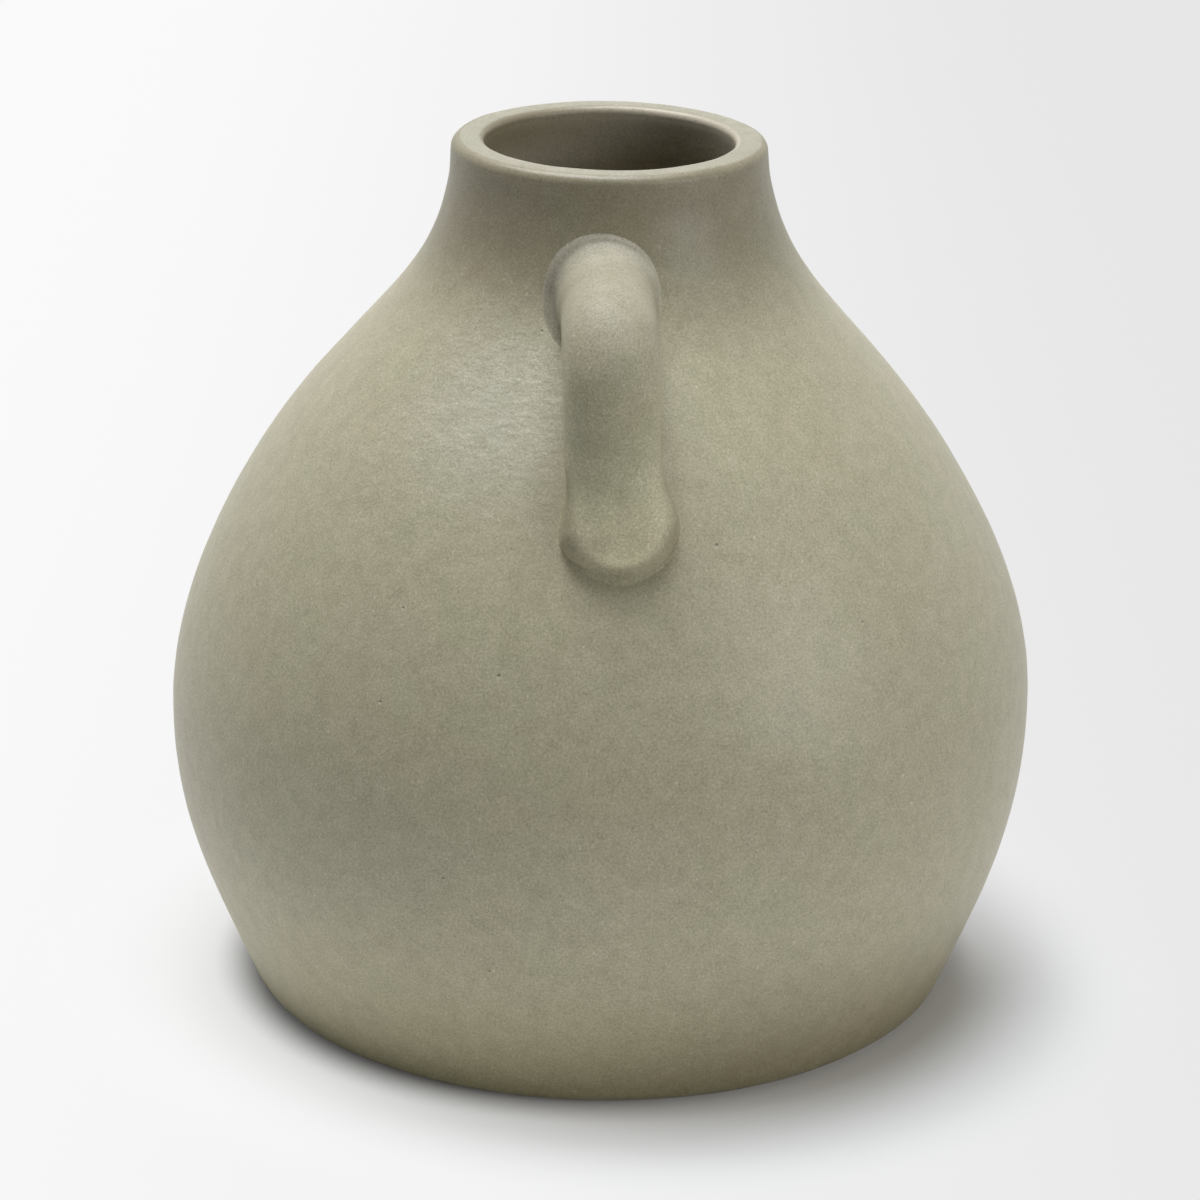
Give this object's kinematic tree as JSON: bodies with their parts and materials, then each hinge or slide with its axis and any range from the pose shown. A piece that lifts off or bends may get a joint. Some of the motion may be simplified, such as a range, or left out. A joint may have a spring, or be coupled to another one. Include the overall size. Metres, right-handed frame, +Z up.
{
  "type": "ceramic milk jug",
  "caption": "Squat full-bellied stoneware jug with a short open neck, flat lip and one small ear handle from neck to shoulder.",
  "frame": {"origin": "on the pot's axis, in the plane that its foot ring stands on", "axes": "+Z up the pot's axis to the mouth; the handle faces -Y; +X is to the right when looking at the handle"},
  "size_m": [0.17, 0.17, 0.171],
  "materials": {
    "matt_glaze": "matt sage stoneware glaze with fine speckle and pinholes",
    "liner_glaze": "darker satin olive liner glaze"
  },
  "bodies": {
    "root": {"vessel_body": "matt_glaze", "interior_glaze": "liner_glaze", "handle": "matt_glaze", "upper_luting_coil": "matt_glaze", "lower_luting_coil": "matt_glaze"}
  },
  "joints": []
}
